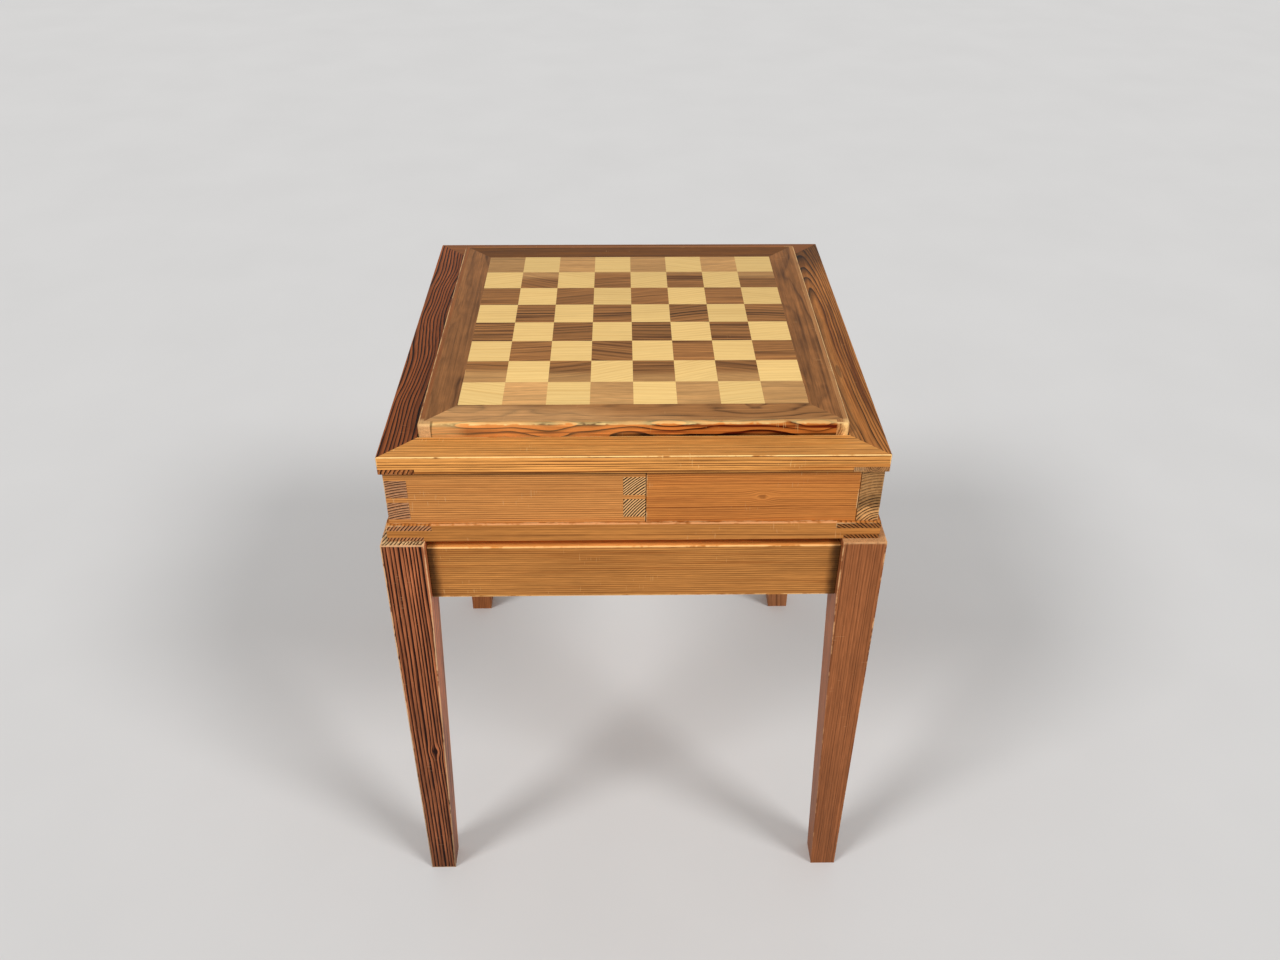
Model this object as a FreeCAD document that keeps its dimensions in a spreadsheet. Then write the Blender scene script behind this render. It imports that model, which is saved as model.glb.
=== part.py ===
import FreeCAD, Part
import math
import os
import re

import Sketcher

# Chess table: a veneered board lies in the recess of a mitred top frame, over a case with two
# drawer bays, on a base of four tapered legs. Millimetres, +Z up, +X to the right and the front
# at -Y. The origin is on the floor under the middle of the table.
#
# The table is the same from both players' seats: a half turn about Z puts its front on its rear.
# Repeated pieces are made alike, at the front or the left, and each is set in place by its turn.

SQUARES_ACROSS = 8
QUARTER_TURN = 90
HALF_TURN = 2 * QUARTER_TURN
CORNERS = ("front_left", "front_right", "rear_right", "rear_left")
SIDES = ("front", "right", "rear", "left")

SIZES = (
    # The board
    ("square_side", 40, "side of one square of the playing field"),
    ("border_width", 27, "width of the mitred border veneer round the field"),
    ("border_margin", 5.5, "bare lipping outside the border veneer"),
    ("veneer_thickness", 1, "squares and border"),
    ("backing_thickness", 1, "veneer under the core"),
    ("lipping_width", 11.5, "solid edge round the core"),
    ("board_thickness", 20, "over everything"),
    ("board_edge_radius", 3, "rounding of the top edge and the upright corners"),
    ("board_recess", 7, "how deep the board sinks into the top frame"),
    ("board_gap", 0.5, "play between the board's edge and the top frame"),
    ("board_seat_gap", 0.2, "play under the board"),
    # The top frame
    ("top_rail_width", 32, ""),
    ("top_rail_thickness", 18, ""),
    ("top_lap", 5, "height of the side rails' lap under the mitre"),
    ("tray_thickness", 5, "panel that carries the board"),
    ("tray_groove", 8, "depth of the rails' groove for the tray panel"),
    ("kicker_width", 36, "strip under the tray panel, over both drawers"),
    ("panel_gap", 0.5, "play round a panel in its groove or rebate"),
    # The case
    ("case_setback", 3, "top frame's overhang over the case"),
    ("case_height", 57, ""),
    ("case_board", 20, "thickness of sides, fixed panels and divider"),
    ("corner_top", 9, "above the upper finger of a case corner"),
    ("corner_gap", 5, "between the fingers of a case corner"),
    ("corner_bottom", 5, "below the lower finger of a case corner"),
    ("divider_margin", 6.5, "above and below the divider's fingers"),
    ("divider_gap", 4.5, "between the divider's fingers"),
    # The bottom frame
    ("base_rail_width", 41, ""),
    ("base_rail_thickness", 18, ""),
    ("upper_cheek", 6, "side rail's cheek over the bridle tenon"),
    ("lower_cheek", 4.5, "side rail's cheek under the bridle tenon"),
    ("rebate_width", 8, "rebate for the floor panels"),
    ("rebate_depth", 6, "rebate for the floor panels"),
    ("floor_thickness", 5, ""),
    ("bearer_width", 60, "middle rail under the divider"),
    ("bearer_tenon_length", 10, ""),
    ("bearer_tenon_thickness", 6, ""),
    # The leg base
    ("leg_ledge", 6.5, "how far the legs stand out beyond the frames"),
    ("leg_height", 475, ""),
    ("leg_width", 40, "square section above the taper"),
    ("foot_width", 27, "square section at the floor"),
    ("apron_drop", 9, "aprons' top below the leg tops"),
    ("apron_setback", 8, "aprons' face behind the legs' face"),
    ("apron_height", 60, ""),
    ("apron_thickness", 20, ""),
    ("tenon_length", 14, ""),
    ("tenon_thickness", 8, ""),
    ("tenon_shoulder", 8, "apron above and below its tenon"),
    ("tenon_fit", 0.1, "play at each face of a tenon"),
    ("tenon_end_gap", 1, "glue space at the end of a tenon"),
    # The drawers
    ("drawer_side_gap", 0.75, ""),
    ("drawer_top_gap", 0.75, ""),
    ("drawer_floor_gap", 0.3, ""),
    ("drawer_rear_gap", 0.5, "to the fixed panel that stops the drawer"),
    ("drawer_front_thickness", 14, ""),
    ("drawer_rabbet", 8, "how far the sides run into the front"),
    ("drawer_side_thickness", 8, ""),
    ("drawer_back_thickness", 8, ""),
    ("drawer_back_drop", 6, "back's top below the sides'"),
    ("drawer_bottom_thickness", 3, ""),
    ("drawer_bottom_lift", 5, "bottom panel above the sides' lower edge"),
    ("drawer_groove", 4, "depth of the groove for the bottom panel"),
    # Dowels and pins
    ("dowel_diameter", 8, "between leg and bottom frame"),
    ("dowel_reach", 11, "into the leg, and as far into the frame"),
    ("dowel_fit", 0.15, "play round a dowel"),
    ("dowel_end_gap", 0.5, "glue space at each end of a dowel"),
    ("pin_diameter", 1.6, "nails of the floor and drawer bottoms"),
    ("pin_reach", 8, "beyond the panel that it holds"),
    ("pin_head_diameter", 3.2, ""),
    ("pin_head_thickness", 0.6, ""),
    ("pin_fit", 0.1, "play round a pin"),
    ("pin_inset", 32, "from a panel's corner to its first pin"),
)

PLACES = (
    # Distances from the middle of the table
    ("field_half", f"square_side * {SQUARES_ACROSS} / 2"),
    ("border_half", "field_half + border_width"),
    ("board_half", "border_half + border_margin"),
    ("core_half", "board_half - lipping_width"),
    ("opening_half", "board_half + board_gap"),
    ("groove_half", "opening_half + tray_groove"),
    ("tray_half", "groove_half - panel_gap"),
    ("frame_half", "opening_half + top_rail_width"),
    ("kicker_half", "kicker_width / 2"),
    ("case_half", "frame_half - case_setback"),
    ("case_inner", "case_half - case_board"),
    ("divider_half", "case_board / 2"),
    ("base_inner", "frame_half - base_rail_width"),
    ("rebate_half", "base_inner + rebate_width"),
    ("floor_half", "rebate_half - panel_gap"),
    ("bearer_half", "bearer_width / 2"),
    ("bearer_core", "bearer_half - rebate_width"),
    ("floor_start", "bearer_core + panel_gap"),
    ("bearer_tenon_end", "base_inner + bearer_tenon_length"),
    ("leg_outer", "frame_half + leg_ledge"),
    ("leg_middle", "leg_outer - leg_width / 2"),
    ("leg_inner", "leg_outer - leg_width"),
    ("foot_inner", "leg_outer - foot_width"),
    ("apron_face", "leg_outer - apron_setback"),
    ("apron_back", "apron_face - apron_thickness"),
    ("tenon_middle", "apron_face - apron_thickness / 2"),
    ("tenon_end", "leg_inner + tenon_length"),
    # Heights above the floor
    ("apron_top", "leg_height - apron_drop"),
    ("apron_bottom", "apron_top - apron_height"),
    ("tenon_top", "apron_top - tenon_shoulder"),
    ("tenon_bottom", "apron_bottom + tenon_shoulder"),
    ("base_top", "leg_height + base_rail_thickness"),
    ("rebate_top", "leg_height + rebate_depth"),
    ("floor_bottom", "rebate_top - floor_thickness"),
    ("bridle_low", "leg_height + lower_cheek"),
    ("bridle_high", "base_top - upper_cheek"),
    ("bearer_tenon_middle", "(rebate_top + base_top) / 2"),
    ("case_top", "base_top + case_height"),
    ("corner_finger", "(case_height - corner_top - corner_gap - corner_bottom) / 2"),
    ("corner_a", "base_top + corner_bottom"),
    ("corner_b", "corner_a + corner_finger"),
    ("corner_c", "corner_b + corner_gap"),
    ("corner_d", "corner_c + corner_finger"),
    ("divider_finger", "(case_height - divider_gap) / 2 - divider_margin"),
    ("divider_a", "base_top + divider_margin"),
    ("divider_b", "divider_a + divider_finger"),
    ("divider_c", "divider_b + divider_gap"),
    ("divider_d", "divider_c + divider_finger"),
    ("lap_top", "case_top + top_lap"),
    ("frame_top", "case_top + top_rail_thickness"),
    ("board_bottom", "frame_top - board_recess"),
    ("board_top", "board_bottom + board_thickness"),
    ("core_top", "board_top - veneer_thickness"),
    ("core_bottom", "board_bottom + backing_thickness"),
    ("tray_top", "board_bottom - board_seat_gap"),
    ("tray_bottom", "tray_top - tray_thickness"),
    # The front drawer, with its front at -Y
    ("drawer_left", "divider_half + drawer_side_gap"),
    ("drawer_right", "case_inner - drawer_side_gap"),
    ("drawer_left_inner", "drawer_left + drawer_side_thickness"),
    ("drawer_right_inner", "drawer_right - drawer_side_thickness"),
    ("drawer_front_back", "drawer_front_thickness - case_half"),
    ("drawer_rabbet_start", "drawer_front_back - drawer_rabbet"),
    ("drawer_end", "case_inner - drawer_rear_gap"),
    ("drawer_back_start", "drawer_end - drawer_back_thickness"),
    ("drawer_back_middle", "drawer_end - drawer_back_thickness / 2"),
    ("drawer_low", "base_top + drawer_floor_gap"),
    ("drawer_high", "case_top - drawer_top_gap"),
    ("drawer_floor_low", "drawer_low + drawer_bottom_lift"),
    ("drawer_floor_high", "drawer_floor_low + drawer_bottom_thickness"),
)

SHEET_OF = {row[0]: sheet for sheet, rows in (("Sizes", SIZES), ("Places", PLACES)) for row in rows}

doc = FreeCAD.newDocument("ChessTable")
pieces = []


def spelled(text):
    """A sum of size names as the document reads it: leg_height becomes Sizes.leg_height."""
    return re.sub(r"[a-z]\w*", lambda word: f"{SHEET_OF[word.group()]}.{word.group()}", text)


def fill_sheets():
    """Sizes holds the driving dimensions and Places what follows from them."""
    sizes = doc.addObject("Spreadsheet::Sheet", "Sizes")
    places = doc.addObject("Spreadsheet::Sheet", "Places")
    for row, (alias, number, note) in enumerate(SIZES, start=1):
        sizes.set(f"A{row}", alias)
        sizes.set(f"B{row}", str(number))
        sizes.set(f"C{row}", note)
        sizes.setAlias(f"B{row}", alias)
    for row, (alias, formula) in enumerate(PLACES, start=1):
        places.set(f"A{row}", alias)
        places.set(f"B{row}", "=" + spelled(formula))
        places.setAlias(f"B{row}", alias)
    doc.recompute()


def block(name, x, y, z):
    """A plain piece of wood from one named place to another along each axis."""
    box = doc.addObject("Part::Box", name)
    for size, axis, (low, high) in (("Length", "x", x), ("Width", "y", y), ("Height", "z", z)):
        box.setExpression(size, spelled(f"({high}) - ({low})"))
        box.setExpression("Placement.Base." + axis, spelled(low))
    return box


def around(half):
    """The span between two places that mirror each other."""
    return (f"-({half})", half)


def about(middle, width):
    """The span of a width about its middle."""
    return (f"{middle} - ({width}) / 2", f"{middle} + ({width}) / 2")


def rod(name, x, y, z, diameter):
    """An upright cylinder at x, y over the span z."""
    low, high = z
    cylinder = doc.addObject("Part::Cylinder", name)
    cylinder.setExpression("Radius", spelled(f"({diameter}) / 2"))
    cylinder.setExpression("Height", spelled(f"({high}) - ({low})"))
    for axis, place in (("x", x), ("y", y), ("z", low)):
        cylinder.setExpression("Placement.Base." + axis, spelled(place))
    return cylinder


def group(name, members):
    """Separate solids kept together."""
    compound = doc.addObject("Part::Compound", name)
    compound.Links = members
    return compound


def joined(name, members):
    """Blocks that are one piece of wood."""
    fuse = doc.addObject("Part::MultiFuse", name)
    fuse.Shapes = members
    fuse.Refine = True
    return fuse


def cut(name, wood, tools):
    """Wood with every tool's shape taken away."""
    for number, tool in enumerate(tools, start=1):
        result = doc.addObject("Part::Cut", f"{name}_cut_{number}")
        result.Base = wood
        result.Tool = tool
        wood = result
    return wood


def keep(label, piece, turn=0):
    """Name a finished sub-part and turn it about the table's middle."""
    piece.Label = label
    if turn:
        axis = FreeCAD.Vector(0, 0, 1)
        piece.Placement = FreeCAD.Placement(FreeCAD.Vector(), FreeCAD.Rotation(axis, turn))
    pieces.append(piece)


def outline(body, name, corners, height):
    """A closed sketch of straight edges, flat at a height, with each corner at two named places."""
    sketch = body.newObject("Sketcher::SketchObject", name)
    ground = next(plane for plane in body.Origin.OriginFeatures if plane.Role == "XY_Plane")
    sketch.AttachmentSupport = (ground, [""])
    sketch.MapMode = "FlatFace"
    sketch.setExpression("AttachmentOffset.Base.z", spelled(height))
    count = len(corners)
    points = [FreeCAD.Vector(*[sketch.evalExpression(spelled(place)) for place in xy]) for xy in corners]
    for edge in range(count):
        sketch.addGeometry(Part.LineSegment(points[edge], points[(edge + 1) % count]), False)
    for edge in range(count):
        sketch.addConstraint(Sketcher.Constraint("Coincident", edge, 2, (edge + 1) % count, 1))
    for corner, (x, y) in enumerate(corners):
        for kind, start, place in (("DistanceX", points[corner].x, x), ("DistanceY", points[corner].y, y)):
            index = sketch.addConstraint(Sketcher.Constraint(kind, -1, 1, corner, 1, start))
            constraint = f"corner{corner}{kind[-1]}"
            sketch.renameConstraint(index, constraint)
            sketch.setExpression("Constraints." + constraint, spelled(place))
    return sketch


def rectangle(x, y):
    """The four corners of a rectangle between two spans."""
    return ((x[0], y[0]), (x[1], y[0]), (x[1], y[1]), (x[0], y[1]))


def pad(body, name, corners, z):
    """A pad of an outline over the span z."""
    low, high = z
    feature = body.newObject("PartDesign::Pad", name)
    feature.Profile = outline(body, name + "_outline", corners, low)
    feature.setExpression("Length", spelled(f"({high}) - ({low})"))
    return feature


def new_body(name):
    """An empty body for a sub-part of this name."""
    return doc.addObject("PartDesign::Body", name + "_body")


def outer_edges(solid):
    """The names of the edges where two of the board's outer faces meet, its underside aside."""
    places = doc.getObject("Places")
    limits = (places.board_half, places.board_half, places.board_top)
    names = []
    for number, edge in enumerate(solid.Edges, start=1):
        middle = edge.CenterOfMass
        faces_met = sum(math.isclose(abs(place), limit, abs_tol=0.01) for place, limit in zip(middle, limits))
        if faces_met == 2:
            names.append(f"Edge{number}")
    return names


def check_and_export():
    """Stop at any failed object, then write each sub-part to a file of its own."""
    doc.recompute()
    for item in doc.Objects:
        if {"Invalid", "Error"} & set(item.State):
            raise RuntimeError(f"{item.Label} failed: {item.State}")
    os.makedirs("parts", exist_ok=True)
    for piece in pieces:
        if piece.Shape.isNull() or not piece.Shape.isValid():
            raise RuntimeError(f"{piece.Label} has no valid shape")
        piece.Shape.exportStep(f"parts/{piece.Label}.step")
        print(f"{piece.Label}: {len(piece.Shape.Solids)} solid(s), {piece.Shape.Volume / 1000:.1f} cm3")


# --- Leg base -----------------------------------------------------------------------------


def mortises():
    """The spaces that the front and left aprons' tenons take in the legs, with their play."""
    thickness = "tenon_thickness + 2 * tenon_fit"
    along = around("tenon_end + tenon_end_gap")
    across = about("-tenon_middle", thickness)
    upright = ("tenon_bottom - tenon_fit", "tenon_top + tenon_fit")
    return [block("front_mortise", along, across, upright), block("left_mortise", across, along, upright)]


def dowel_holes():
    """One hole through each leg top into the corner of the bottom frame, with the dowel's play."""
    reach = "dowel_reach + dowel_end_gap"
    span = (f"leg_height - ({reach})", f"leg_height + {reach}")
    return group("dowel_holes", corner_rods("dowel_hole", span, "dowel_diameter + 2 * dowel_fit"))


def corner_rods(name, span, diameter):
    """An upright cylinder in the middle of each leg."""
    corners = [(x, y) for x in around("leg_middle") for y in around("leg_middle")]
    return [rod(f"{name}_{number}", x, y, span, diameter) for number, (x, y) in enumerate(corners, start=1)]


def legs(holes):
    """The outer faces stand upright. The inner ones run in to the foot below the apron."""
    def square(inner):
        return rectangle(("-leg_outer", f"-{inner}"), ("-leg_outer", f"-{inner}"))

    tools = mortises() + [holes]
    for quarter, corner in enumerate(CORNERS):
        name = corner + "_leg"
        body = new_body(name)
        taper = body.newObject("PartDesign::AdditiveLoft", name + "_taper")
        taper.Profile = outline(body, name + "_foot", square("foot_inner"), "0")
        taper.Sections = [outline(body, name + "_shoulder", square("leg_inner"), "apron_bottom")]
        taper.Ruled = True
        pad(body, name + "_block", square("leg_inner"), ("apron_bottom", "leg_height"))
        keep(name, cut(name, body, tools), quarter * QUARTER_TURN)


def aprons():
    """Each apron has a tenon along its middle that stands out at both ends."""
    for quarter, side in enumerate(SIDES):
        name = side + "_apron"
        rail = block(
            name + "_rail",
            around("leg_inner"),
            ("-apron_face", "-apron_back"),
            ("apron_bottom", "apron_top"),
        )
        tenons = block(
            name + "_tenons",
            around("tenon_end"),
            about("-tenon_middle", "tenon_thickness"),
            ("tenon_bottom", "tenon_top"),
        )
        keep(name, joined(name, [rail, tenons]), quarter * QUARTER_TURN)


def leg_dowels():
    span = ("leg_height - dowel_reach", "leg_height + dowel_reach")
    keep("leg_dowels", group("leg_dowels", corner_rods("dowel", span, "dowel_diameter")))


# --- Bottom frame -------------------------------------------------------------------------


def floor_pin_spots():
    """Where pins go up through the floor panels, along every edge of both."""
    along_rails = ("floor_start + pin_inset", "floor_half - pin_inset")
    along_sides = ("-floor_half + pin_inset", "0", "floor_half - pin_inset")
    in_side_rail = "(base_inner + rebate_half) / 2"
    in_bearer = "(bearer_core + bearer_half) / 2"
    spots = [(x, y) for x in along_rails for y in around(in_side_rail)]
    spots += [(x, y) for x in (in_side_rail, in_bearer) for y in along_sides]
    return [(f"{side}({x})", y) for side in ("", "-") for x, y in spots]


def pins(name, spots, underside, panel_top):
    """Nails driven up from a panel's underside, each a shank and a flat head."""
    made = []
    for number, (x, y) in enumerate(spots, start=1):
        shank = rod(f"{name}_shank_{number}", x, y, (underside, f"{panel_top} + pin_reach"), "pin_diameter")
        head_span = (f"{underside} - pin_head_thickness", underside)
        head = rod(f"{name}_head_{number}", x, y, head_span, "pin_head_diameter")
        made.append(joined(f"{name}_{number}", [shank, head]))
    return made


def pin_holes(name, spots, underside, panel_top):
    """The holes of the same nails, with their play."""
    span = (underside, f"{panel_top} + pin_reach + pin_fit")
    diameter = "pin_diameter + 2 * pin_fit"
    return group(name, [rod(name, x, y, span, diameter) for x, y in spots])


def bottom_frame(holes):
    """Bridle-jointed rails: the side rails' cheeks hold the front and rear rails between them."""
    spots = floor_pin_spots()
    nails = pin_holes("floor_pin_holes", spots, "floor_bottom", "rebate_top")
    across = ("-frame_half", "-base_inner")
    whole = ("leg_height", "base_top")
    bearer_mortise = block(
        "bearer_mortise",
        around("bearer_core + tenon_fit"),
        around("bearer_tenon_end + tenon_end_gap"),
        about("bearer_tenon_middle", "bearer_tenon_thickness + 2 * tenon_fit"),
    )
    corner = ("base_inner", "frame_half")
    mirrored_corner = ("-frame_half", "-base_inner")
    rebated_corner = ("rebate_half", "frame_half")
    mirrored_rebated_corner = ("-frame_half", "-rebate_half")
    inner_edge = ("-rebate_half", "-base_inner")
    for side, turn in (("front", 0), ("rear", HALF_TURN)):
        name = f"base_{side}_rail"
        rail = block(name + "_blank", around("frame_half"), across, whole)
        rebate = block(name + "_rebate", around("rebate_half"), inner_edge, ("leg_height", "rebate_top"))
        shoulders = []
        for upper, lower in ((corner, rebated_corner), (mirrored_corner, mirrored_rebated_corner)):
            shoulders.append(block(name + "_upper", upper, across, ("bridle_high", "base_top")))
            shoulders.append(block(name + "_lower", lower, across, ("leg_height", "bridle_low")))
        tools = [rebate, group(name + "_shoulders", shoulders), bearer_mortise, holes, nails]
        keep(name, cut(name, rail, tools), turn)
    for side, turn in (("left", 0), ("right", HALF_TURN)):
        name = f"base_{side}_rail"
        rail = block(name + "_blank", across, around("frame_half"), whole)
        rebate = block(name + "_rebate", inner_edge, around("frame_half"), ("leg_height", "rebate_top"))
        bridle = ("bridle_low", "bridle_high")
        slots = [block(name + "_slot", across, end, bridle) for end in (corner, mirrored_corner)]
        keep(name, cut(name, rail, [rebate, group(name + "_slots", slots), holes, nails]), turn)
    bearer = [
        block("bearer_top", around("bearer_half"), around("base_inner"), ("rebate_top", "base_top")),
        block("bearer_core", around("bearer_core"), around("rebate_half"), ("leg_height", "rebate_top")),
        block(
            "bearer_tenons",
            around("bearer_core"),
            around("bearer_tenon_end"),
            about("bearer_tenon_middle", "bearer_tenon_thickness"),
        ),
    ]
    keep("centre_bearer", cut("centre_bearer", joined("bearer", bearer), [nails]))
    for side, turn in (("right", 0), ("left", HALF_TURN)):
        name = side + "_floor_panel"
        span = ("floor_start", "floor_half")
        panel = block(name + "_blank", span, around("floor_half"), ("floor_bottom", "rebate_top"))
        keep(name, cut(name, panel, [nails]), turn)
    keep("floor_pins", group("floor_pins", pins("floor_pin", spots, "floor_bottom", "rebate_top")))


# --- Case ---------------------------------------------------------------------------------


def fingers(name, x, y, levels):
    """The two fingers of a case joint, between the first pair of levels and the second."""
    low_a, high_a, low_b, high_b = levels
    return [block(name + "_lower", x, y, (low_a, high_a)), block(name + "_upper", x, y, (low_b, high_b))]


def case():
    """Sides, fixed panels and divider. Each fixed panel is fingered to a side and the divider."""
    upright = ("base_top", "case_top")
    front_end = ("-case_half", "-case_inner")
    rear_end = ("case_inner", "case_half")
    corner_levels = ("corner_a", "corner_b", "corner_c", "corner_d")
    divider_levels = ("divider_a", "divider_b", "divider_c", "divider_d")
    corner_fingers = fingers("corner_finger", front_end, front_end, corner_levels)
    front_fingers = fingers("divider_front_finger", around("divider_half"), front_end, divider_levels)
    rear_fingers = fingers("divider_rear_finger", around("divider_half"), rear_end, divider_levels)
    for side, turn in (("left", 0), ("right", HALF_TURN)):
        name = side + "_case_side"
        board = block(name + "_board", front_end, ("-case_inner", "case_half"), upright)
        keep(name, joined(name, [board] + corner_fingers), turn)
    slots = group("panel_slots", corner_fingers + front_fingers)
    for name, turn in (("front_left_panel", 0), ("rear_right_panel", HALF_TURN)):
        panel = block(name + "_blank", ("-case_half", "divider_half"), front_end, upright)
        keep(name, cut(name, panel, [slots]), turn)
    board = block("divider_board", around("divider_half"), around("case_inner"), upright)
    keep("case_divider", joined("case_divider", [board] + front_fingers + rear_fingers))


# --- Top frame ----------------------------------------------------------------------------


def top_frame():
    """Rails mitred above. Below the mitre the side rails run through to the front and rear."""
    groove = block("tray_groove", around("groove_half"), around("groove_half"), ("tray_bottom", "tray_top"))
    upper = ("lap_top", "frame_top")
    lower = ("case_top", "lap_top")
    rail_span = ("-frame_half", "-opening_half")
    for side, turn in (("front", 0), ("rear", HALF_TURN)):
        name = f"top_{side}_rail"
        body = new_body(name)
        pad(body, name + "_lap", rectangle(around("opening_half"), rail_span), lower)
        mitred = (
            ("-frame_half", "-frame_half"),
            ("frame_half", "-frame_half"),
            ("opening_half", "-opening_half"),
            ("-opening_half", "-opening_half"),
        )
        pad(body, name + "_mitred", mitred, upper)
        keep(name, cut(name, body, [groove]), turn)
    for side, turn in (("left", 0), ("right", HALF_TURN)):
        name = f"top_{side}_rail"
        body = new_body(name)
        pad(body, name + "_lap", rectangle(rail_span, around("frame_half")), lower)
        mitred = (
            ("-frame_half", "-frame_half"),
            ("-opening_half", "-opening_half"),
            ("-opening_half", "opening_half"),
            ("-frame_half", "frame_half"),
        )
        pad(body, name + "_mitred", mitred, upper)
        keep(name, cut(name, body, [groove]), turn)
    tray = block("tray_panel", around("tray_half"), around("tray_half"), ("tray_bottom", "tray_top"))
    keep("tray_panel", tray)
    under_tray = ("case_top", "tray_bottom")
    keep("centre_kicker", block("centre_kicker", around("kicker_half"), around("opening_half"), under_tray))


# --- Board --------------------------------------------------------------------------------


def lippings():
    """Side lippings run through to the front. The others lie between them. The top edge is round."""
    upright = ("board_bottom", "board_top")
    edge_span = ("-board_half", "-core_half")
    bed = block("veneer_bed", around("border_half"), around("border_half"), ("core_top", "board_top"))
    for side, turn, x, y in (
        ("front", 0, around("core_half"), edge_span),
        ("rear", HALF_TURN, around("core_half"), edge_span),
        ("left", 0, edge_span, around("board_half")),
        ("right", HALF_TURN, edge_span, around("board_half")),
    ):
        name = side + "_lipping"
        body = new_body(name)
        strip = pad(body, name + "_strip", rectangle(x, y), upright)
        doc.recompute()
        fillet = body.newObject("PartDesign::Fillet", name + "_rounding")
        fillet.Base = (strip, outer_edges(strip.Shape))
        fillet.setExpression("Radius", spelled("board_edge_radius"))
        keep(name, cut(name, body, [bed]), turn)


def borders():
    """Four strips of veneer, mitred at the corners of the board."""
    for quarter, side in enumerate(SIDES):
        name = side + "_border"
        body = new_body(name)
        corners = (
            ("-border_half", "-border_half"),
            ("border_half", "-border_half"),
            ("field_half", "-field_half"),
            ("-field_half", "-field_half"),
        )
        pad(body, name + "_strip", corners, ("core_top", "board_top"))
        keep(name, body, quarter * QUARTER_TURN)


def squares():
    """Light and dark squares in turn, with a light one at each player's left hand."""
    light = []
    dark = []
    for row in range(SQUARES_ACROSS):
        for column in range(SQUARES_ACROSS):
            x = (f"square_side * {column} - field_half", f"square_side * {column + 1} - field_half")
            y = (f"square_side * {row} - field_half", f"square_side * {row + 1} - field_half")
            square = block(f"square_{row}_{column}", x, y, ("core_top", "board_top"))
            (dark if (row + column) % 2 else light).append(square)
    keep("light_squares", group("light_squares", light))
    keep("dark_squares", group("dark_squares", dark))


def board():
    core = around("core_half")
    keep("board_core", block("board_core", core, core, ("core_bottom", "core_top")))
    keep("board_backing", block("board_backing", core, core, ("board_bottom", "core_bottom")))
    lippings()
    borders()
    squares()


# --- Drawers ------------------------------------------------------------------------------


def drawer(side, turn):
    """A box whose sides run into rabbets of the front. The bottom slides in grooves under the back."""
    name = side + "_drawer"
    width = ("drawer_left", "drawer_right")
    inside = ("drawer_left_inner", "drawer_right_inner")
    upright = ("drawer_low", "drawer_high")
    floor = ("drawer_floor_low", "drawer_floor_high")
    left = ("drawer_left", "drawer_left_inner")
    right = ("drawer_right_inner", "drawer_right")
    in_front = ("drawer_rabbet_start", "drawer_front_back")
    groove = block(
        name + "_groove",
        ("drawer_left_inner - drawer_groove", "drawer_right_inner + drawer_groove"),
        ("drawer_front_back - drawer_groove", "drawer_end"),
        floor,
    )
    pin_places = ("drawer_left_inner + pin_inset", "drawer_right_inner - pin_inset")
    spots = [(x, "drawer_back_middle") for x in pin_places]
    nails = pin_holes(name + "_pin_holes", spots, "drawer_floor_low", "drawer_floor_high")

    front = block(name + "_face", width, ("-case_half", "drawer_front_back"), upright)
    rabbets = [block(name + "_rabbet", end, in_front, upright) for end in (left, right)]
    keep(name + "_front", cut(name + "_front", front, [group(name + "_rabbets", rabbets), groove]), turn)
    for hand, span in (("left", left), ("right", right)):
        label = f"{name}_{hand}_side"
        board_side = block(label + "_blank", span, ("drawer_rabbet_start", "drawer_end"), upright)
        keep(label, cut(label, board_side, [groove]), turn)
    back_height = ("drawer_floor_high", "drawer_high - drawer_back_drop")
    back = block(name + "_back_blank", inside, ("drawer_back_start", "drawer_end"), back_height)
    keep(name + "_back", cut(name + "_back", back, [nails]), turn)
    bottom = block(
        name + "_bottom_blank",
        ("drawer_left_inner - drawer_groove + panel_gap", "drawer_right_inner + drawer_groove - panel_gap"),
        ("drawer_front_back - drawer_groove + panel_gap", "drawer_end"),
        floor,
    )
    keep(name + "_bottom", cut(name + "_bottom", bottom, [nails]), turn)
    nails_made = pins(name + "_pin", spots, "drawer_floor_low", "drawer_floor_high")
    keep(name + "_pins", group(name + "_pins", nails_made), turn)


fill_sheets()
leg_holes = dowel_holes()
legs(leg_holes)
aprons()
leg_dowels()
bottom_frame(leg_holes)
case()
top_frame()
board()
drawer("front", 0)
drawer("rear", HALF_TURN)
check_and_export()
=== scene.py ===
import math
from fnmatch import fnmatch
from functools import cached_property, reduce
from types import SimpleNamespace

import bpy
from mathutils import Matrix, Vector


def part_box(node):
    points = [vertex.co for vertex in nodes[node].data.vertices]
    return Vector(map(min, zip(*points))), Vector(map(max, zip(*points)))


# Chess table: every piece is the CAD's own, with eased arrises and a wood cut from its own log.
# Metres in the scene, millimetres inside the materials.

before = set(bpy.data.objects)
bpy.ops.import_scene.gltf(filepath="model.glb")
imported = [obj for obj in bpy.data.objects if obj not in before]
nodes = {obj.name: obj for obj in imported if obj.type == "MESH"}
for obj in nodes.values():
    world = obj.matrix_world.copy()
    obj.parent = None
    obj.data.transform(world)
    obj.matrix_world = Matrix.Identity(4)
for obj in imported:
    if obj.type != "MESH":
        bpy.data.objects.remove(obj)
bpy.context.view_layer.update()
MILLI = 1000.0

# --- Places on the table, in millimetres ----------------------------------------------------

LEG_OUTER = 231.5
LEG_WIDTH = 40.0
LEG_HEIGHT = 475.0
FOOT_WIDTH = 27.0
TAPER_TOP = 406.0
APRON_TOP = 466.0
CASE_HALF = 222.0
CASE_TOP = 550.0
FRAME_HALF = 225.0
FRAME_TOP = 568.0
BOARD_HALF = 192.5
BOARD_MIDDLE = 571.0
BOARD_TOP = 581.0
LIPPING_INNER = 181.0
BORDER_MIDDLE = 173.5
FIELD_HALF = 160.0
SQUARE = 40.0

# --- Camera ---------------------------------------------------------------------------------

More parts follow.
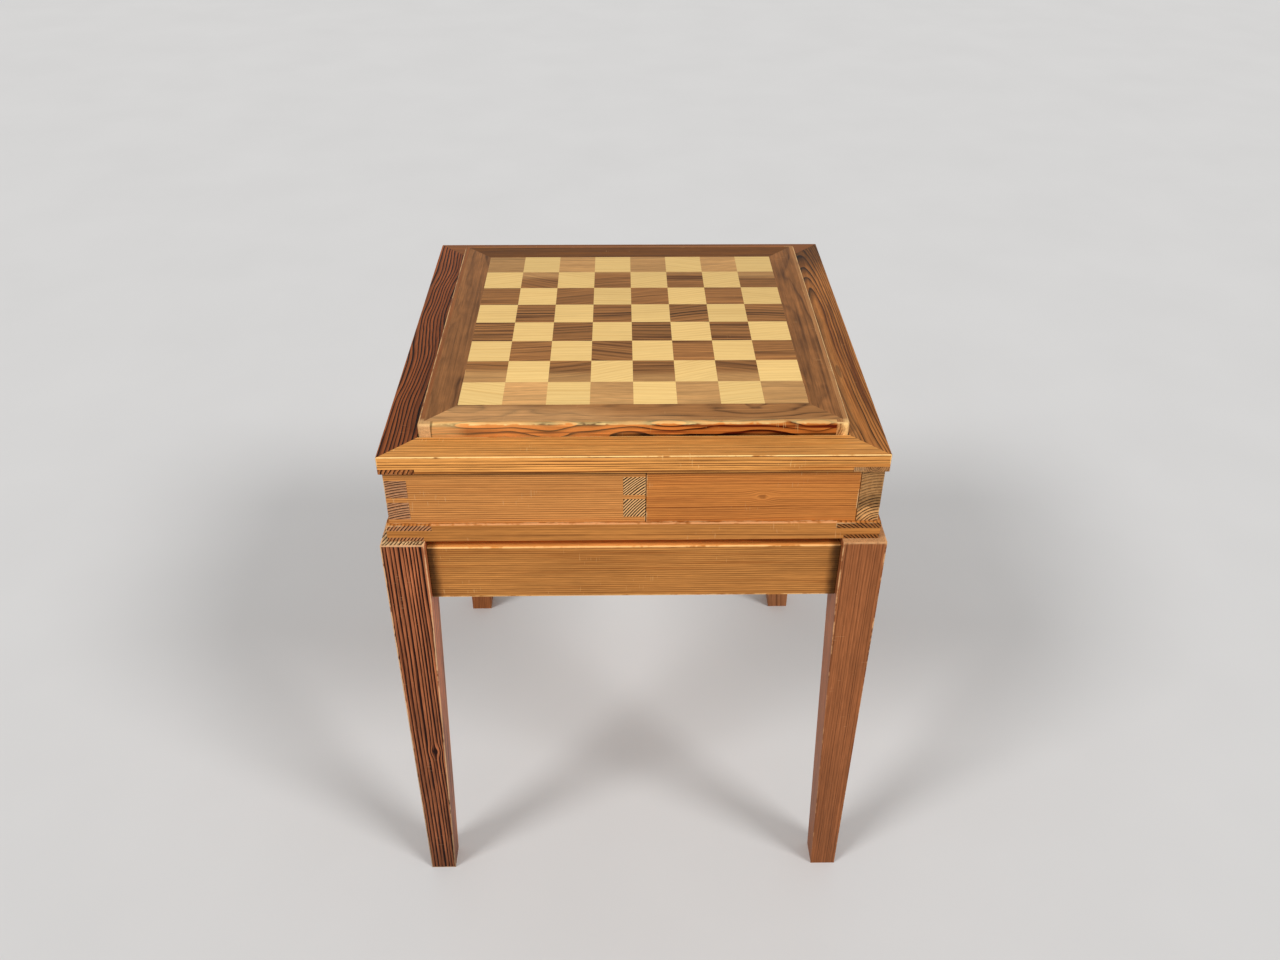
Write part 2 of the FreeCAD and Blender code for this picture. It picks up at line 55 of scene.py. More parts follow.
PHOTO_WIDTH = 1280
PHOTO_HEIGHT = 960
SENSOR_WIDTH = 36.0
FOCAL_PIXELS = 1103.94
PRINCIPAL_POINT = (638.0, 447.3)
CAMERA_PLACE = (-0.01149, -1.01460, 1.11340)  # metres
CAMERA_PITCH = 34.159  # degrees down, then to the right, then round the line of sight
CAMERA_YAW = 1.049
CAMERA_ROLL = 0.254


def make_camera():
    """The photograph's viewpoint, solved from the corners of the field, the frames and the legs."""
    lens = bpy.data.cameras.new("camera")
    lens.sensor_width = SENSOR_WIDTH
    lens.lens = FOCAL_PIXELS / PHOTO_WIDTH * SENSOR_WIDTH
    lens.shift_x = (PHOTO_WIDTH / 2 - PRINCIPAL_POINT[0]) / PHOTO_WIDTH
    lens.shift_y = (PRINCIPAL_POINT[1] - PHOTO_HEIGHT / 2) / PHOTO_WIDTH
    camera = bpy.data.objects.new("camera", lens)
    bpy.context.scene.collection.objects.link(camera)
    turn = (
        Matrix.Rotation(math.radians(-CAMERA_YAW), 4, "Z")
        @ Matrix.Rotation(math.radians(90 - CAMERA_PITCH), 4, "X")
        @ Matrix.Rotation(math.radians(CAMERA_ROLL), 4, "Z")
    )
    camera.matrix_world = Matrix.Translation(CAMERA_PLACE) @ turn
    bpy.context.scene.camera = camera


# --- Shader nodes ---------------------------------------------------------------------------

MIX_SOCKETS = {"RGBA": (0, 6, 7), "FLOAT": (0, 2, 3)}
MIX_RESULT = {"RGBA": 2, "FLOAT": 0}


class Value:
    """A node's output that can be reckoned with: its sums and products are further nodes."""

    def __init__(self, socket):
        self.socket = socket

    def __add__(self, other):
        return reckon("ADD", self, other)

    def __sub__(self, other):
        return reckon("SUBTRACT", self, other)

    def __rsub__(self, other):
        return reckon("SUBTRACT", other, self)

    def __mul__(self, other):
        return reckon("MULTIPLY", self, other)

    def __truediv__(self, other):
        return reckon("DIVIDE", self, other)

    def __pow__(self, other):
        return reckon("POWER", self, other)

    def __abs__(self):
        return reckon("ABSOLUTE", self)

    def clamped(self):
        """The same value, which its own node keeps within 0 and 1."""
        self.socket.node.use_clamp = True
        return self

    @cached_property
    def parts(self):
        """A vector's x, y and z."""
        return [Value(part) for part in make("ShaderNodeSeparateXYZ", {0: self}).outputs]

    x = property(lambda self: self.parts[0])
    y = property(lambda self: self.parts[1])
    z = property(lambda self: self.parts[2])


def plug(socket, value):
    """Wire a value to a socket, or set the socket to a constant."""
    if isinstance(value, Value):
        socket.id_data.links.new(value.socket, socket)
    else:
        socket.default_value = value


def make(kind, sockets, **settings):
    """A node with these settings and these sockets plugged, in the tree of the sockets' values."""
    tree = next(value.socket.id_data for value in sockets.values() if isinstance(value, Value))
    node = tree.nodes.new(kind)
    for name, value in settings.items():
        setattr(node, name, value)
    for socket, value in sockets.items():
        plug(node.inputs[socket], value)
    return node


def reckon(operation, *values):
    """The result of a Math node."""
    node = make("ShaderNodeMath", dict(enumerate(values)), operation=operation)
    return Value(node.outputs[0])


def least(*values):
    """The smallest of some numbers."""
    return reduce(lambda first, second: reckon("MINIMUM", first, second), values)


def most(*values):
    """The largest of some numbers."""
    return reduce(lambda first, second: reckon("MAXIMUM", first, second), values)


def vector(operation, *values):
    """The result of a Vector Math node."""
    node = make("ShaderNodeVectorMath", dict(enumerate(values)), operation=operation)
    return Value(node.outputs["Value" if operation == "DOT_PRODUCT" else "Vector"])


def scaled(place, scale):
    """A vector or a colour, times a number."""
    node = make("ShaderNodeVectorMath", {0: place, "Scale": scale}, operation="SCALE")
    return Value(node.outputs["Vector"])


def combine(x, y, z):
    """A vector from its three parts."""
    return Value(make("ShaderNodeCombineXYZ", {0: x, 1: y, 2: z}).outputs[0])


def noise(place, scale=1.0, detail=2.0, rough=0.5, output="Fac"):
    """A smooth noise in space, about 0.5 in the mean."""
    sockets = {"Vector": place, "Scale": scale, "Detail": detail, "Roughness": rough}
    return Value(make("ShaderNodeTexNoise", sockets).outputs[output])


def line_noise(w):
    """A smooth noise along a line."""
    sockets = {"W": w, "Scale": 1.0, "Detail": 1.0}
    return Value(make("ShaderNodeTexNoise", sockets, noise_dimensions="1D").outputs["Fac"])


def random(w):
    """Another number from 0 to 1 for each w."""
    node = make("ShaderNodeTexWhiteNoise", {"W": w}, noise_dimensions="1D")
    return Value(node.outputs["Value"])


def span(value, low, high, at_low=0.0, at_high=1.0, way="SMOOTHSTEP"):
    """From one level up to a low value to another level from a high value on."""
    sockets = dict(enumerate((value, low, high, at_low, at_high)))
    return Value(make("ShaderNodeMapRange", sockets, interpolation_type=way).outputs["Result"])


def mix(kind, *values):
    """The result of a Mix node."""
    sockets = dict(zip(MIX_SOCKETS[kind], values))
    return Value(make("ShaderNodeMix", sockets, data_type=kind).outputs[MIX_RESULT[kind]])


def blend(amount, first, second):
    """A colour between two others."""
    return mix("RGBA", amount, first, second)


def between(amount, first, second):
    """A number between two others."""
    return mix("FLOAT", amount, first, second)


def curve(value, stops):
    """A level that follows (place, level) stops."""
    ramp = make("ShaderNodeValToRGB", {0: value})
    elements = ramp.color_ramp.elements
    while len(elements) < len(stops):
        elements.new(0.5)
    for element, (place, level) in zip(elements, stops):
        element.position = place
        element.color = (level, level, level, 1)
    return Value(ramp.outputs[0])


def ragged(place, point, scale, reach, detail=2.0):
    """A place, moved by up to so many millimetres, so that what ends there is ragged."""
    return place + noise(point, scale, detail) * reach


def linear(color):
    """A colour as it is seen (sRGB, 0 to 255), turned into the shader's linear one."""
    channels = []
    for value in color:
        value /= 255
        channels.append(value / 12.92 if value <= 0.04045 else ((value + 0.055) / 1.055) ** 2.4)
    return (*channels, 1.0)


def new_group(name, inputs, outputs):
    """A node group whose sockets are named by kind. Returns its tree and its inputs' values."""
    tree = bpy.data.node_groups.new(name, "ShaderNodeTree")
    for way, kinds in (("INPUT", inputs), ("OUTPUT", outputs)):
        for kind, names in kinds.items():
            for socket in names:
                tree.interface.new_socket(socket, in_out=way, socket_type="NodeSocket" + kind)
    entry = tree.nodes.new("NodeGroupInput")
    given = {socket.name: Value(socket) for socket in entry.outputs if socket.name}
    return tree, SimpleNamespace(**given)


def close_group(tree, **results):
    """Hand the results to the group's outputs."""
    node = tree.nodes.new("NodeGroupOutput")
    for name, value in results.items():
        plug(node.inputs[name], value)
    return tree


def new_material(name):
    """A material with nothing but a shader. Returns it, and the shader's sockets."""
    material = bpy.data.materials.new(name)
    material.use_nodes = True
    tree = material.node_tree
    tree.nodes.clear()
    shader = tree.nodes.new("ShaderNodeBsdfPrincipled")
    output = tree.nodes.new("ShaderNodeOutputMaterial")
    tree.links.new(shader.outputs[0], output.inputs["Surface"])
    return material, shader.inputs


def table_point(material):
    """A point on the table in millimetres, wherever its body has moved, and its normal."""
    coordinates = material.node_tree.nodes.new("ShaderNodeTexCoord")
    point = scaled(Value(coordinates.outputs["Object"]), MILLI)
    return point, Value(coordinates.outputs["Normal"])


# --- Wood -----------------------------------------------------------------------------------

# What a piece of wood looks like, unless it says otherwise. Colours are 0 to 255, as seen.
# A number may be a function that works it out from the point on the table.
NUMBERS = {
    "seed": 0.0,  # each piece has its own log
    "ring": 1.8,  # millimetres from one ring to the next
    "wander": 6.0,  # millimetres that the rings stray from circles
    "wave": 300.0,  # millimetres along the grain over which they do
    "contrast": 0.8,  # how dark the late wood is
    "even": 0.0,  # 0 for rings that all differ, 1 for rings that are all alike
    "sharp": 1.0,  # narrows the late wood
    "soft": 0.0,  # 0 for a conifer, 1 for a broadleaf
    "sap": 0.0,  # paler, as sapwood or as bare wood, and as a painted highlight on the legs' tops
    "grime": 0.0,  # darker, or lighter below 0: dirt, and also painted shade and painted light where a piece's function gives them
    "tone": 0.25,  # streaks and slow changes
    "fibre": 0.16,  # fine lines
    "figure": 0.0,  # small clouds
    "wear": 0.5,  # how much of an arris is rubbed bare and painted with a pale highlight
    "dents": 0.5,  # small dents and scratches that show bare wood
    "relief": 0.05,  # how far the late wood stands up
}
COLOURS = {
    "early": (206, 142, 80),  # the pale wood of a ring
    "late": (160, 94, 44),  # its dark wood
    "streak": (176, 108, 54),
    "worn": (232, 184, 128),  # bare wood, also the painted highlight along arrises
}
LOOKS = {
    **NUMBERS,
    **COLOURS,
    "end": (0.62, 0.60, 0.62),  # the end grain's tint
    "cut": {},  # looks that the end grain has instead
    "slope": (0.0, 0.0),  # how the grain leans, per millimetre along the piece
    "bows": (),  # bends of the log: its side, how far, from where along the piece, to which end
    "knot": None,  # how far along the piece, on which axis, how far across, its reach and push
    "arris": 1.4,  # millimetres over which an arris is rubbed and painted with a highlight
    "rub": 1.0,  # how much it is rubbed and painted with a highlight there
    "upward": False,  # whether only what faces up is rubbed and painted with a highlight
    "shape": None,  # a function for the block whose arrises are rubbed and highlit, if not the piece's box
    "place": None,  # a function for the place in the log, if not the piece's own
}
AXES = {"x": (1, 2, 0), "y": (0, 2, 1), "z": (0, 1, 2)}  # two across the grain, one along it
UNIT = ((1, 0, 0), (0, 1, 0), (0, 0, 1))

# Each noise in the wood: millimetres across the grain and along it, a shift, detail, roughness
NOISES = {
    "ripple": (9.0, 60.0, 5.0, 1.0, 0.5),
    "patch": (3.5, 80.0, 61.0, 1.5, 0.5),
    "fibre": (0.9, 70.0, 11.0, 3.0, 0.65),
    "thread": (2.6, 120.0, 17.0, 2.0, 0.6),
    "pores": (1.2, 15.0, 23.0, 2.0, 0.5),
    "drift": (38.0, 260.0, 31.0, 2.0, 0.5),
    "streaks": (5.0, 240.0, 41.0, 2.5, 0.6),
    "figure": (16.0, 22.0, 53.0, 2.0, 0.5),
    "scuffs": (30.0, 45.0, 67.0, 1.0, 0.5),
}
NOISE_MIDDLE = 0.5
SEED_SHIFT = 37.0  # how far apart two seeds are in the noises

# The rings. A span is given as a noise's low and high values, and the levels at them
BEND_WIDTH = 75.0  # millimetres across the log over which its rings wander
BEND_DETAIL = 1.5
BOW_POWER = 2.0  # bows grow with the square of the way along
RIPPLE = 0.12  # small ripples, as a share of the wander
SPACING_RINGS = 4.0  # rings over which their spacing changes
SPACING = (1.6, 0.4)  # by how many rings it does, in an uneven wood and in an even one
WEAK_YEAR = 0.4  # the weakest year's late wood, against the strongest
BAND_RINGS = 5.0  # rings over which the late wood grows weaker and stronger
BAND_SEED = 3.0
BANDS = (0.25, 0.7, 0.6, 1.3)
PATCHES = (0.32, 0.6, 0.5, 1.0)

# How dark the wood is from one ring's start (0) to the next one's (1)
CONIFER = ((0.0, 0.05), (0.4, 0.1), (0.72, 0.55), (0.9, 1.0), (0.97, 0.85), (1.0, 0.05))
BROADLEAF = ((0.0, 0.25), (0.3, 0.0), (0.7, 0.45), (0.9, 1.0), (1.0, 0.25))

# How strongly each noise shades the wood, per unit of the look that it belongs to
STREAKS = (0.5, 0.72)  # where in its noise a streak starts, and where it is full
FIBRE_SHADE = 2.4
THREAD_SHADE = 1.8
PORE_SHADE = 1.8
DRIFT_SHADE = 0.9
SAP_COLOUR = 0.3  # how much of the wood's own colour sapwood keeps

# End grain
END_GRAIN = (0.6, 0.9)  # how squarely a face cuts the grain, where end grain starts and is full
SPECK_SCALE = 1.6
SPECK_SHADE = 0.5

# Knots. How near a point is to one counts in shares of its reach, squared
KNOT_LENGTH = 1.6  # along the grain, against the reach across it
KNOT_SCALE = 0.35  # of the noise that makes its outline ragged, per millimetre
KNOT_RAGGED = 0.4
KNOT_CORE = (0.2, 0.5)  # where its dark core ends, from full to nothing
KNOT_STRENGTH = 0.5
KNOT_SHADE = 0.7  # its colour, against the late wood's

# Rubbed arrises: partly real wear and partly a painted highlight
UPWARD = (0.3, 0.7)  # how far a face looks up, where it isn't rubbed and highlit and where it is
RUN_SCALE = 0.045
RUN_DETAIL = 3.0
RUN_ROUGHNESS = 0.7
RUN_WEAR_AND_GLINT = 0.22  # how much further a run reaches where the wear and glint is 1
RUNS = (0.58, 0.72)  # where in its noise a run starts, and where it is full
RAGGED_SCALE = 0.1
RAGGED = 2.0  # how unevenly a run ends towards the face
RUBBED_AND_GLINT = (0.25, 0.6)  # how near an edge is where the finish is still whole, and where it is gone and the arris is painted pale as a highlight
RUB_AND_GLINT_STRENGTH = 0.85

# Dents and scratches
DENT_CELL = (9.0, 20.0, 14.0)  # millimetres that each dent has to itself
DENT_CHANCE = 0.86  # the share of cells without a dent
DENT_RIM = (0.06, 0.15)  # where a dent ends, from full to nothing, in shares of its cell
DENT_DEPTH = 0.25
SCRATCH_ACROSS = 13.0  # millimetres that a scratch runs across the grain
SCRATCH_ALONG = 0.9  # its width, along the grain
SCRATCH_STRENGTH = 0.8
SCRATCHES = (0.72, 0.8)  # where in its noise a scratch starts, and where it is full
SCUFFS = (0.6, 0.66)  # where in its noise a place with scratches starts, and where it is full

# Gloss and relief: the roughness of finished wood, what changes it, and the bumps
ROUGHNESS = 0.36
FIBRE_ROUGHNESS = 0.16
LATE_ROUGHNESS = 0.06
END_ROUGHNESS = 0.14
BARE_ROUGHNESS = 0.12
FIBRE_RELIEF = 0.5
BUMP = 0.6
SPECULAR = 0.08


def make_wood_group():
    """Wood as it comes out of a log: rings round a pith, fibres along it, ends, wear and dents."""
    tree, given = new_group(
        "wood",
        {
            "Vector": ["place"],
            "Float": ["end", "arris", "knot", *NUMBERS],
            "Color": [*COLOURS, "tint"],
        },
        {"Color": ["color"], "Float": ["roughness", "height"]},
    )
    u, v, w = given.place.parts
    shift = given.seed * SEED_SHIFT

    def along(name):
        """A noise that runs along the grain."""
        across, length, offset, detail, rough = NOISES[name]
        place = combine(u / across + (shift + offset), v / across, w / length)
        return noise(place, detail=detail, rough=rough)

    def shade(value, amount):
        """One plus the value's swing about its middle, times an amount."""
        return (value - NOISE_MIDDLE) * amount + 1.0

    # The log isn't straight: its rings wander, slowly along the grain and faster across it
    bend = combine(u / BEND_WIDTH + shift, v / BEND_WIDTH, w / given.wave)
    bend = noise(bend, detail=BEND_DETAIL, output="Color")
    bend = scaled(vector("SUBTRACT", bend, (NOISE_MIDDLE,) * 3), given.wander)
    ripple = (along("ripple") - NOISE_MIDDLE) * (given.wander * RIPPLE)
    radius = reckon("SQRT", (u + bend.x) ** 2.0 + (v + bend.y) ** 2.0)
    turns = (radius + ripple) / given.ring
    uneven = line_noise(turns / SPACING_RINGS + given.seed)
    turns = turns + uneven * between(given.even, *SPACING)
    year = reckon("FLOOR", turns)
    season = reckon("FRACT", turns)
    strength = span(random(year + shift), 0.0, 1.0, at_low=WEAK_YEAR, way="LINEAR")
    bands = line_noise(turns / BAND_RINGS + given.seed * BAND_SEED)
    strength = between(given.even, (strength * span(bands, *BANDS)).clamped(), 1.0)
    late = between(given.soft, curve(season, CONIFER), curve(season, BROADLEAF)) ** given.sharp
    late = late * strength * between(given.even, span(along("patch"), *PATCHES), 1.0)

    # Its colour, with streaks, fibres, short pores and slow drifts of tone
    fibre = along("fibre")
    color = blend((late * given.contrast).clamped(), given.early, given.late)
    color = blend((span(along("streaks"), *STREAKS) * given.tone).clamped(), color, given.streak)
    level = shade(fibre, given.fibre * FIBRE_SHADE)
    level = level * shade(along("thread"), given.fibre * THREAD_SHADE)
    level = level * shade(along("pores"), given.fibre * PORE_SHADE)
    level = level * shade(along("drift"), given.tone * DRIFT_SHADE)
    level = level * shade(along("figure"), given.figure)
    color = blend(given.sap, color, blend(SAP_COLOUR, given.worn, color))
    color = scaled(color, level)
    color = blend(given.knot, color, scaled(given.late, KNOT_SHADE))

    # End grain has its own tint, and its pores show as specks
    specks = noise(given.place, SPECK_SCALE, detail=1.0)
    end_color = scaled(vector("MULTIPLY", color, given.tint), shade(specks, SPECK_SHADE))
    color = blend(given.end, color, end_color)

    # Rubbed arrises: the finish is gone in runs, more at some places than at others, and the pale
    # colour there is partly bare wood and partly a painted highlight
    runs = noise(given.place, RUN_SCALE, RUN_DETAIL, RUN_ROUGHNESS)
    rub = span(runs + given.wear * RUN_WEAR_AND_GLINT, *RUNS)
    swing = noise(given.place, RAGGED_SCALE) - NOISE_MIDDLE
    near = given.arris + swing * (given.arris * RAGGED)
    rub = (span(near, *RUBBED_AND_GLINT) * rub * RUB_AND_GLINT_STRENGTH).clamped()
    color = blend(rub, color, given.worn)

    # A few small dents and scratches that show bare wood
    cell = combine(*(side / size for side, size in zip((u, v, w), DENT_CELL)))
    cell = vector("ADD", cell, combine(shift, 0.0, 0.0))
    cells = make("ShaderNodeTexVoronoi", {"Vector": cell})
    chosen = reckon("GREATER_THAN", Value(cells.outputs["Color"]).x, DENT_CHANCE)
    dent = span(Value(cells.outputs["Distance"]), *DENT_RIM, at_low=1.0, at_high=0.0)
    dent = (dent * chosen * given.dents).clamped()
    scratch = combine(u / SCRATCH_ACROSS + shift, v / SCRATCH_ACROSS, w / SCRATCH_ALONG)
    scratch = span(noise(scratch, detail=0.0), *SCRATCHES) * span(along("scuffs"), *SCUFFS)
    bare = most(dent, (scratch * (given.dents * SCRATCH_STRENGTH)).clamped())
    color = blend(bare, color, given.worn)
    # The darkening here is real dirt, and also painted shade and painted light where a piece's
    # function asks for them.
    color = scaled(color, 1.0 - given.grime)

    roughness = fibre * FIBRE_ROUGHNESS + ROUGHNESS - late * LATE_ROUGHNESS
    roughness = roughness + given.end * END_ROUGHNESS
    roughness = (roughness + most(rub, bare) * BARE_ROUGHNESS).clamped()
    height = (late + fibre * FIBRE_RELIEF) * given.relief - bare * DENT_DEPTH
    return close_group(tree, color=color, roughness=roughness, height=height)


def make_arris_group():
    """How near a point is to its block's edges: 1 on an edge, 0 further from it than the width."""
    tree, given = new_group(
        "arris",
        {"Vector": ["place", "centre", "half"], "Float": ["width"]},
        {"Float": ["near"]},
    )
    offset = vector("ABSOLUTE", vector("SUBTRACT", given.place, given.centre))
    depths = vector("SUBTRACT", given.half, offset).parts
    second = depths[0] + depths[1] + depths[2] - least(*depths) - most(*depths)
    return close_group(tree, near=span(second, 0.0, given.width, at_low=1.0, at_high=0.0))


WOOD = make_wood_group()
ARRIS = make_arris_group()


def log_place(point, centre, half, grain, pith, looks):
    """Where a point lies in its log: across it from the pith, and along it."""
    *across, length = AXES[grain]
    run = point.parts[length] - centre[length]
    sides = []
    for axis, offset, slope in zip(across, pith, looks["slope"]):
        sides.append(point.parts[axis] - (centre[axis] + offset) + run * slope)
    for side, amount, start, way in looks["bows"]:
        past = most((run - start) * (way / half[length]), 0.0) ** BOW_POWER
        sides[side] = sides[side] + past * amount
    knot = 0.0
    if looks["knot"]:
        knot_run, axis, knot_side, reach, push = looks["knot"]
        near_run = (run - knot_run) / (reach * KNOT_LENGTH)
        near_side = (point.parts[axis] - (centre[axis] + knot_side)) / reach
        near = near_run ** 2.0 + near_side ** 2.0
        side = across.index(axis)
        sides[side] = sides[side] + reckon("EXPONENT", near * -1.0) * near_side * -push
        near = ragged(near, point, KNOT_SCALE, KNOT_RAGGED, detail=1.0)
        knot = span(near, *KNOT_CORE, at_low=KNOT_STRENGTH, at_high=0.0)
    return combine(*sides, run), knot


def wood_material(name, centre, half, grain, pith, looks):
    """A wood whose grain runs along an axis, with the pith so far from the piece's middle."""
    material, shader = new_material(name)
    point, normal = table_point(material)
    knot = 0.0
    if looks["place"]:
        place = looks["place"](point)
    else:
        place, knot = log_place(point, centre, half, grain, pith, looks)
    end = abs(vector("DOT_PRODUCT", normal, UNIT[AXES[grain][-1]]))
    cut = span(end, *END_GRAIN)

    def number(value):
        """A number, or what a function makes of the point."""
        return value(point) if callable(value) else value

    def look(key):
        """A look, and the other one that the end grain may have."""
        read, mixed = (linear, blend) if key in COLOURS else (number, between)
        value = read(looks[key])
        return mixed(cut, value, read(looks["cut"][key])) if key in looks["cut"] else value

    if looks["shape"]:
        centre, half = looks["shape"](point)
    block = {"place": point, "centre": centre, "half": half, "width": looks["arris"]}
    near = make("ShaderNodeGroup", block, node_tree=ARRIS).outputs["near"]
    # rubbed: the arris mask, partly wear and partly a painted highlight along the edges
    rubbed = Value(near) * number(looks["rub"])
    if looks["upward"]:
        rubbed = rubbed * span(normal.z, *UPWARD)
    sockets = {key: look(key) for key in (*NUMBERS, *COLOURS)}
    sockets.update(place=place, end=cut, arris=rubbed, knot=knot, tint=(*looks["end"], 1.0))
    wood = make("ShaderNodeGroup", sockets, node_tree=WOOD).outputs
    height = Value(wood["height"])
    bump = make("ShaderNodeBump", {"Strength": BUMP, "Distance": 1 / MILLI, "Height": height})
    plug(shader["Base Color"], Value(wood["color"]))
    plug(shader["Roughness"], Value(wood["roughness"]))
    plug(shader["Normal"], Value(bump.outputs["Normal"]))
    shader["Specular IOR Level"].default_value = SPECULAR
    return material


def dress(node, grain, pith, kind=LOOKS, **changes):
    """Give a CAD node a wood of its own, of a kind and with changes to it."""
    low, high = (Vector(corner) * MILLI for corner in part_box(node))
    looks = {**LOOKS, **kind, **changes}
    material = wood_material(node, (low + high) / 2, (high - low) / 2, grain, pith, looks)
    cover(node, material)


def cover(node, material):
    """Put a material on a whole CAD node."""
    piece = nodes[node]
    if not piece.material_slots:
        piece.data.materials.append(None)
    for slot in piece.material_slots:
        slot.material = material


# --- Legs and aprons ------------------------------------------------------------------------

# The functions below work out a look at each point on the table. Their spans run from one
# place to another, in millimetres, and at_low and at_high are the look's levels there.
# A cloud's size is given per millimetre, and ragged moves a place by up to its reach.

LEG_CLOUD = (0.25, 0.25, 0.02)  # long along the leg, as the next one
FOOT_CLOUD = (0.05, 0.05, 0.014)
FOOT_CLOUD_REACH = 500.0  # millimetres by which it moves where the leg turns dark
SIDE_CONTRAST = 0.58


def leg_shape(side_x, side_y):
    """The leg's section at each height, for its rubbed and highlit arrises."""
    def shape(point):
        width = span(point.z, 0.0, TAPER_TOP, at_low=FOOT_WIDTH, at_high=LEG_WIDTH, way="LINEAR")
        half = width / 2.0
        inward = LEG_OUTER - half
        centre = combine(inward * side_x, inward * side_y, LEG_HEIGHT / 2)
        return centre, combine(half, half, LEG_HEIGHT / 2)

    return shape


def bare_and_highlit_top(point):
    """The legs' tops have lost their finish, and so have the arrises round them. The pale band is
    partly bare wood and partly a painted highlight on the lit top and its front arris.
    """
    height = ragged(point.z, point, scale=0.3, reach=1.6)
    return span(height, LEG_HEIGHT - 2.0, LEG_HEIGHT + 0.2, at_high=0.5)


def less_below(point):
    """The front right leg's arrises are rubbed and painted with a highlight more near its top."""
    return span(point.z, 250.0, 430.0, at_low=0.45)


def strong_front(point):
    """The front left leg's rings show strongly in front, in clouds, and less at its sides."""
    cloud = noise(vector("MULTIPLY", point, LEG_CLOUD))
    front = span(point.y, 0.5 - LEG_OUTER, 2.0 - LEG_OUTER, at_low=1.0, at_high=0.0)
    front_contrast = span(cloud, 0.3, 0.7, at_low=1.4, at_high=3.4, way="LINEAR")
    return between(front, SIDE_CONTRAST, front_contrast)


def dark_foot(amount):
    """The legs are darker towards their feet, in clouds."""
    def dark(point):
        cloud = noise(vector("MULTIPLY", point, FOOT_CLOUD))
        height = point.z + cloud * FOOT_CLOUD_REACH
        return span(height, 200.0, 620.0, at_low=amount, at_high=-0.04)

    return dark


def painted_apron_shade_and_light(axis):
    """Painted shade in the corners between an apron and the legs, where the legs shade it. The
    apron's top is painted lighter, as if lit under the bottom frame.
    """
    def apron_shade_and_light(point):
        from_leg = LEG_OUTER - LEG_WIDTH - abs(point.parts[axis])
        from_leg = ragged(from_leg, point, scale=0.08, reach=6.0)
        top = span(point.z, APRON_TOP - 1.0, APRON_TOP - 0.2, at_high=-0.55)
        return span(from_leg, 6.0, 15.0, at_low=0.78, at_high=0.0) + top

    return apron_shade_and_light


dress("front_left_leg", "z", (-130, 45), shape=leg_shape(-1, -1), seed=1.3, ring=3.2,
      early=(190, 112, 70), late=(38, 11, 4), streak=(64, 24, 8), worn=(232, 182, 134),
      end=(1.6, 3.3, 4.2), contrast=strong_front, cut=dict(contrast=2.0), even=0.45, sharp=0.85,
      tone=1.0, fibre=0.6, relief=0.25, grime=dark_foot(0.54), knot=(-40, 0, 3, 5, 5), wear=1.2,
      arris=2.0)
# The front right and rear legs have pale tops: bare wood and a painted highlight.
dress("front_right_leg", "z", (90, 60), shape=leg_shape(1, -1), seed=2.1, ring=1.9, wander=4,
      wave=500, early=(164, 99, 58), late=(66, 29, 12), streak=(112, 60, 30),
      worn=(222, 168, 116), end=(1.15, 1.3, 1.35), contrast=0.85, tone=0.4, fibre=0.36,
      sap=bare_and_highlit_top, grime=dark_foot(0.2), wear=0.6, arris=2.2, rub=less_below)
REAR_LEG = dict(streak=(118, 62, 32), worn=(214, 152, 98), sap=bare_and_highlit_top, wear=0.4)
dress("rear_right_leg", "z", (30, -70), REAR_LEG, shape=leg_shape(1, 1), seed=3.7, ring=2.0,
      early=(180, 119, 78), late=(92, 49, 27))
dress("rear_left_leg", "z", (-50, -60), REAR_LEG, shape=leg_shape(-1, 1), seed=4.9, ring=2.2,
      early=(168, 102, 60), late=(84, 42, 22))

APRON = dict(early=(206, 138, 70), late=(96, 46, 12), streak=(148, 84, 32),
             worn=(240, 184, 116), contrast=0.85, tone=0.6, fibre=0.3, wear=1.0, arris=2.4)
# The aprons get painted shade beside the legs and a painted lighter top.
dress("front_apron", "x", (20, -160), APRON, seed=5.2, ring=2.4, wave=420, even=0.5,
      grime=painted_apron_shade_and_light(0))
dress("rear_apron", "x", (-40, -120), APRON, seed=6.4, ring=2.4, wander=9, grime=painted_apron_shade_and_light(0))
dress("left_apron", "y", (30, -140), APRON, seed=7.7, ring=2.2, wander=7, grime=painted_apron_shade_and_light(1))
dress("right_apron", "y", (-35, -110), APRON, seed=8.1, ring=2.5, wander=8, grime=painted_apron_shade_and_light(1))

# --- Bottom frame ---------------------------------------------------------------------------

BASE = dict(early=(208, 137, 68), late=(100, 48, 14), streak=(156, 90, 36), contrast=0.9,
            tone=0.5, fibre=0.3)
CHEEK = dict(BASE, ring=2.6, even=0.9, cut=dict(late=(24, 8, 2), sharp=0.7, contrast=1.4))
dress("base_front_rail", "x", (90, -90), BASE, seed=9.3, ring=1.9, wander=8, wave=380,
      worn=(240, 181, 123), wear=1.1, arris=5.0, upward=True)
dress("base_rear_rail", "x", (-50, -60), BASE, seed=10.1, ring=2.4)
dress("base_left_rail", "y", (80, -60), CHEEK, seed=11.9, end=(1.2, 1.33, 2.4))
dress("base_right_rail", "y", (-60, -70), CHEEK, seed=12.4, end=(0.75, 0.73, 0.86))
dress("centre_bearer", "y", (0, -50), BASE, seed=13.6, ring=2.4)

# --- Case -----------------------------------------------------------------------------------


def painted_shade_under_frame(point):
    """A painted shade line under the top frame, where the frame overhangs and shades the case."""
    return span(point.z, CASE_TOP - 3.6, CASE_TOP - 2.5, at_high=0.42)


def dark_upper(point):
    """The right side's end is darker above, darkest in a band, and takes the painted shade line
    under the top frame.
    """
    height = ragged(point.z, point, scale=0.09, reach=16.0)
    low = span(height, 511.0, 519.0, at_low=-0.22, at_high=0.5)
    high = span(height, 528.0, 534.0, at_low=0.5, at_high=0.36)
    dark = least(low, high)
    ends = span(abs(point.y), CASE_HALF - 1.0, CASE_HALF - 0.2)
    return most(dark * ends, painted_shade_under_frame(point))


def calm_upper(point):
    """The right side's end shows its rings less above."""
    return span(point.z, 510.0, 524.0, at_low=1.8, at_high=1.1)
